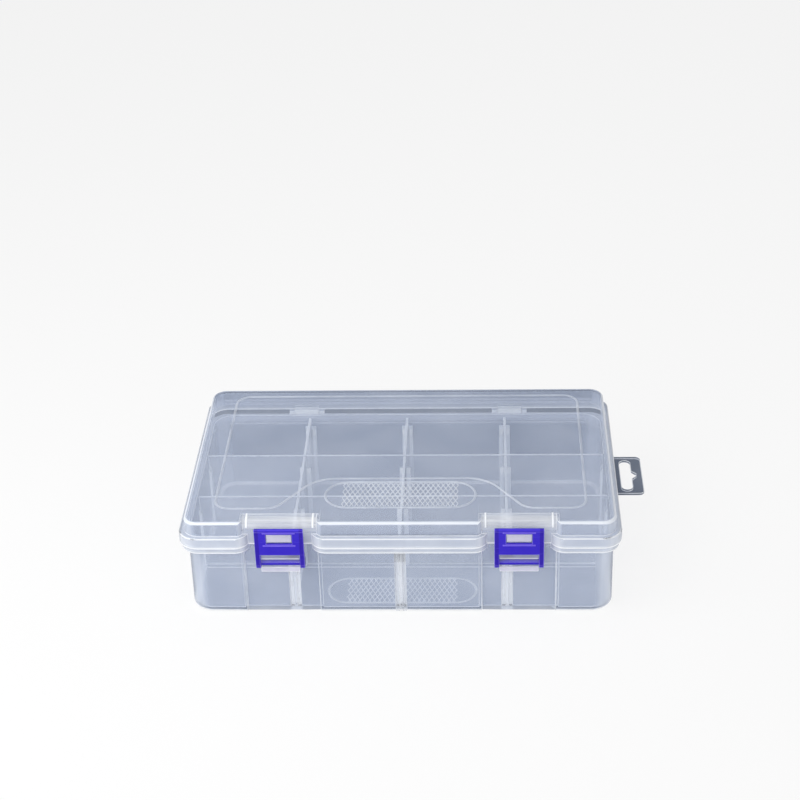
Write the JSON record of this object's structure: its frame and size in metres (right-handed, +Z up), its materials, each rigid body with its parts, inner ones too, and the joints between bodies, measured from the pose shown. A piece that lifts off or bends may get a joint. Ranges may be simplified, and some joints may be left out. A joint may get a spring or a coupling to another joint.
{
  "type": "divided storage box",
  "caption": "Low clear plastic organizer box with one hinged lid, snap latches at the front, loose dividers and a hang tab at the side.",
  "frame": {"origin": "on the underside, below the middle of the closed lid's rim", "axes": "+X to the right along the front, +Y to the back where the hinge is, +Z up; millimetre sizes in the source, metres here"},
  "size_m": [0.2504, 0.1497, 0.0592],
  "materials": {
    "clear_plastic": "translucent polypropylene, slightly milky",
    "divider_plastic": "translucent polypropylene, slightly milky",
    "latch_plastic": "opaque glossy blue-violet"
  },
  "bodies": {
    "tray": {"tray": "clear_plastic"},
    "lid": {"lid": "clear_plastic"},
    "latch_left": {"latch_left": "latch_plastic"},
    "latch_right": {"latch_right": "latch_plastic"},
    "row_divider_front": {"row_divider_front": "divider_plastic"},
    "row_divider_rear": {"row_divider_rear": "divider_plastic"},
    "divider_front_left": {"divider_front_left": "divider_plastic"},
    "divider_front_centre": {"divider_front_centre": "divider_plastic"},
    "divider_front_right": {"divider_front_right": "divider_plastic"},
    "divider_middle_left": {"divider_middle_left": "divider_plastic"},
    "divider_middle_centre": {"divider_middle_centre": "divider_plastic"},
    "divider_middle_right": {"divider_middle_right": "divider_plastic"},
    "divider_rear_left": {"divider_rear_left": "divider_plastic"},
    "divider_rear_centre": {"divider_rear_centre": "divider_plastic"},
    "divider_rear_right": {"divider_rear_right": "divider_plastic"}
  },
  "joints": [
    {"name": "lid_hinge", "type": "hinge", "parent": "tray", "child": "lid", "pos_m": [0, 0.0708, 0.043], "axis": [-1, 0, 0], "range_deg": [0, 120]},
    {"name": "latch_left_pivot", "type": "hinge", "parent": "tray", "child": "latch_left", "pos_m": [-0.0632, -0.0712, 0.0336], "axis": [1, 0, 0], "range_deg": [0, 120]},
    {"name": "latch_right_pivot", "type": "hinge", "parent": "tray", "child": "latch_right", "pos_m": [0.0632, -0.0712, 0.0336], "axis": [1, 0, 0], "range_deg": [0, 120]},
    {"name": "row_divider_front_lift", "type": "slide", "parent": "tray", "child": "row_divider_front", "axis": [0, 0, 1], "range_m": [0, 0.007]},
    {"name": "row_divider_rear_lift", "type": "slide", "parent": "tray", "child": "row_divider_rear", "axis": [0, 0, 1], "range_m": [0, 0.007]},
    {"name": "divider_front_left_lift", "type": "slide", "parent": "tray", "child": "divider_front_left", "axis": [0, 0, 1], "range_m": [0, 0.007]},
    {"name": "divider_front_centre_lift", "type": "slide", "parent": "tray", "child": "divider_front_centre", "axis": [0, 0, 1], "range_m": [0, 0.007]},
    {"name": "divider_front_right_lift", "type": "slide", "parent": "tray", "child": "divider_front_right", "axis": [0, 0, 1], "range_m": [0, 0.007]},
    {"name": "divider_middle_left_lift", "type": "slide", "parent": "tray", "child": "divider_middle_left", "axis": [0, 0, 1], "range_m": [0, 0.007]},
    {"name": "divider_middle_centre_lift", "type": "slide", "parent": "tray", "child": "divider_middle_centre", "axis": [0, 0, 1], "range_m": [0, 0.007]},
    {"name": "divider_middle_right_lift", "type": "slide", "parent": "tray", "child": "divider_middle_right", "axis": [0, 0, 1], "range_m": [0, 0.007]},
    {"name": "divider_rear_left_lift", "type": "slide", "parent": "tray", "child": "divider_rear_left", "axis": [0, 0, 1], "range_m": [0, 0.007]},
    {"name": "divider_rear_centre_lift", "type": "slide", "parent": "tray", "child": "divider_rear_centre", "axis": [0, 0, 1], "range_m": [0, 0.007]},
    {"name": "divider_rear_right_lift", "type": "slide", "parent": "tray", "child": "divider_rear_right", "axis": [0, 0, 1], "range_m": [0, 0.007]}
  ]
}
